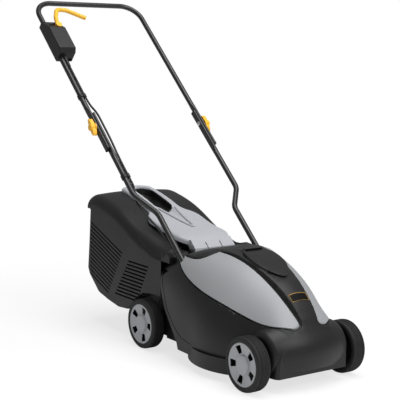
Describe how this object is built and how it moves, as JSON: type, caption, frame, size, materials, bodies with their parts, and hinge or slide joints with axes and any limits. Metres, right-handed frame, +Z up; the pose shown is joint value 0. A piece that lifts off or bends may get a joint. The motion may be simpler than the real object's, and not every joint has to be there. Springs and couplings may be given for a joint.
{
  "type": "push lawn mower",
  "caption": "Small corded rotary lawn mower with folding tube handle, hinged rear flap and a removable rigid grass box behind the deck.",
  "frame": {"origin": "middle of the overall length and width, on the ground", "axes": "+Z up, -Y forwards (the way the mower is pushed), +X to the operator's left"},
  "size_m": [0.4192, 1.1852, 0.974],
  "materials": {
    "black_plastic": "fine moulded texture, slightly satin",
    "dark_plastic": "moulded",
    "silver_plastic": "satin silver-grey paint on plastic",
    "pale_grey_plastic": "satin moulded",
    "wheel_grey_plastic": "satin moulded",
    "yellow_plastic": "satin moulded",
    "black_painted_tube": "black powder coat",
    "cable_rubber": "smooth",
    "tyre": "moulded tread",
    "steel": "zinc plated",
    "blade_steel": "painted, bare along the cutting edges",
    "aluminium": "die cast"
  },
  "bodies": {
    "mower": {"cable_clip_lower": "dark_plastic", "cable_grommet": "cable_rubber", "cable_lower": "cable_rubber", "cover_screws": "steel", "deck": "black_plastic", "flap_pin": "steel", "flap_spring": "steel", "front_left_axle_pin": "steel", "front_right_axle_pin": "steel", "lower_tube_left": "black_painted_tube", "lower_tube_right": "black_painted_tube", "motor_bearings": "steel", "motor_cover": "black_plastic", "motor_end_bell": "aluminium", "motor_housing": "dark_plastic", "motor_screws": "steel", "motor_stator": "steel", "rear_left_axle_pin": "steel", "rear_right_axle_pin": "steel", "side_panel_left": "silver_plastic", "side_panel_right": "silver_plastic", "tube_screws": "steel"},
    "upper_handle": {"upper_handle": "black_painted_tube", "switch_box_lid": "black_plastic", "switch_box_base": "black_plastic", "switch_unit": "dark_plastic", "mains_inlet": "dark_plastic", "cable_boot": "cable_rubber", "cable_upper": "cable_rubber", "cable_clip_upper": "dark_plastic", "switch_screws": "steel", "fold_bolts": "steel"},
    "switch_lever": {"switch_lever": "yellow_plastic"},
    "lock_button": {"lock_button": "yellow_plastic"},
    "wing_knob_right": {"wing_knob_right": "yellow_plastic"},
    "wing_knob_left": {"wing_knob_left": "yellow_plastic"},
    "rear_flap": {"rear_flap": "pale_grey_plastic"},
    "grass_box": {"grass_box_lid": "black_plastic", "grass_box_body": "black_plastic"},
    "rotor": {"rotor_shaft": "steel", "blade_carrier": "aluminium", "blade": "blade_steel", "blade_bolt": "steel"},
    "front_right_wheel": {"front_right_tyre": "tyre", "front_right_hub": "wheel_grey_plastic", "front_right_cap": "wheel_grey_plastic"},
    "front_left_wheel": {"front_left_tyre": "tyre", "front_left_hub": "wheel_grey_plastic", "front_left_cap": "wheel_grey_plastic"},
    "rear_right_wheel": {"rear_right_tyre": "tyre", "rear_right_hub": "wheel_grey_plastic", "rear_right_cap": "wheel_grey_plastic"},
    "rear_left_wheel": {"rear_left_tyre": "tyre", "rear_left_hub": "wheel_grey_plastic", "rear_left_cap": "wheel_grey_plastic"}
  },
  "joints": [
    {"name": "handle_fold", "type": "hinge", "parent": "mower", "child": "upper_handle", "pos_m": [0, 0.18575, 0.60461], "axis": [1, 0, 0], "range_deg": [0, 150], "deforming": ["cable_upper", "cable_lower"]},
    {"name": "lever_pull", "type": "hinge", "parent": "upper_handle", "child": "switch_lever", "pos_m": [-0.161, 0.46891, 0.89377], "axis": [0, -0.6717, 0.7408], "range_deg": [0, 18], "stiffness_Nm_per_rad": 1.2, "springref_deg": -9.74},
    {"name": "lock_button_press", "type": "slide", "parent": "upper_handle", "child": "lock_button", "axis": [-1, 0, 0], "range_m": [0, 0.0035], "stiffness_N_per_m": 600, "springref_m": -0.002},
    {"name": "wing_knob_right_turn", "type": "hinge", "parent": "upper_handle", "child": "wing_knob_right", "pos_m": [-0.2, 0.18575, 0.60461], "axis": [1, 0, 0], "continuous": true},
    {"name": "wing_knob_left_turn", "type": "hinge", "parent": "upper_handle", "child": "wing_knob_left", "pos_m": [0.2, 0.18575, 0.60461], "axis": [1, 0, 0], "continuous": true},
    {"name": "flap_lift", "type": "hinge", "parent": "mower", "child": "rear_flap", "pos_m": [0, -0.1337, 0.28], "axis": [1, 0, 0], "range_deg": [0, 60], "stiffness_Nm_per_rad": 0.3, "springref_deg": -45.84},
    {"name": "grass_box_slide", "type": "slide", "parent": "mower", "child": "grass_box", "axis": [0, 1, 0], "range_m": [0, 0.25]},
    {"name": "rotor_spin", "type": "hinge", "parent": "mower", "child": "rotor", "pos_m": [0, -0.3447, 0.098], "axis": [0, 0, 1], "continuous": true},
    {"name": "front_right_wheel_spin", "type": "hinge", "parent": "mower", "child": "front_right_wheel", "pos_m": [-0.15, -0.5093, 0.07], "axis": [1, 0, 0], "continuous": true},
    {"name": "front_left_wheel_spin", "type": "hinge", "parent": "mower", "child": "front_left_wheel", "pos_m": [0.15, -0.5093, 0.07], "axis": [1, 0, 0], "continuous": true},
    {"name": "rear_right_wheel_spin", "type": "hinge", "parent": "mower", "child": "rear_right_wheel", "pos_m": [-0.15, -0.0437, 0.07], "axis": [1, 0, 0], "continuous": true},
    {"name": "rear_left_wheel_spin", "type": "hinge", "parent": "mower", "child": "rear_left_wheel", "pos_m": [0.15, -0.0437, 0.07], "axis": [1, 0, 0], "continuous": true}
  ]
}
